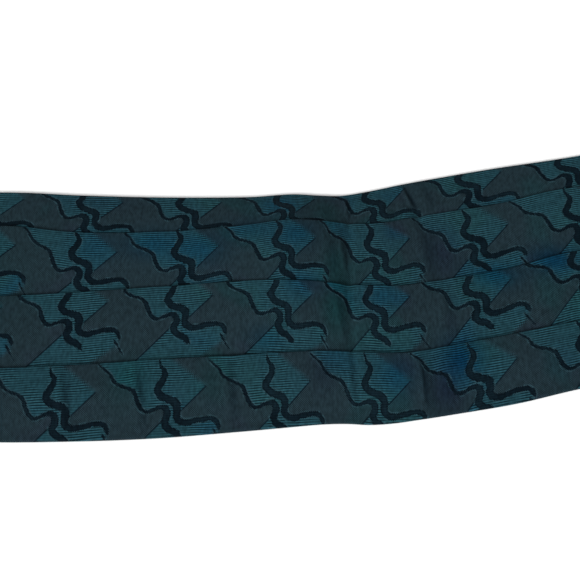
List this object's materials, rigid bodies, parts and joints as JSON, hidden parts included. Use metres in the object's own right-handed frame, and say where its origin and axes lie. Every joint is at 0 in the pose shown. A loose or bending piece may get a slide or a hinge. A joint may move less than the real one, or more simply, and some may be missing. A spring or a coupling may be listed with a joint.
{
  "type": "cummerbund",
  "caption": "Pleated cloth waist sash laid flat, its overlapping folds facing up, with tapered ends, waist straps and a hook and eye clasp.",
  "frame": {"origin": "on the table under the middle of the whole part laid flat", "axes": "+X along the waist towards the hook, +Y up the body towards the top band, +Z out of the front, away from the table"},
  "size_m": [0.9744, 0.1578, 0.0113],
  "materials": {
    "jacquard": "woven jacquard, matt twill ground with lighter ribbed patches and near-black ribbons",
    "tab_cloth": "plain dark twill",
    "webbing": "plain ribbed dark webbing",
    "clasp_metal": "smooth black enamel on steel"
  },
  "bodies": {
    "root": {"panel_body": "jacquard", "pleat_upper": "jacquard", "pleat_middle": "jacquard", "pleat_lower": "jacquard", "end_tab_left": "tab_cloth", "end_tab_right": "tab_cloth", "strap_left": "webbing", "strap_right": "webbing", "clasp_eye": "clasp_metal", "clasp_hook": "clasp_metal"}
  },
  "joints": []
}
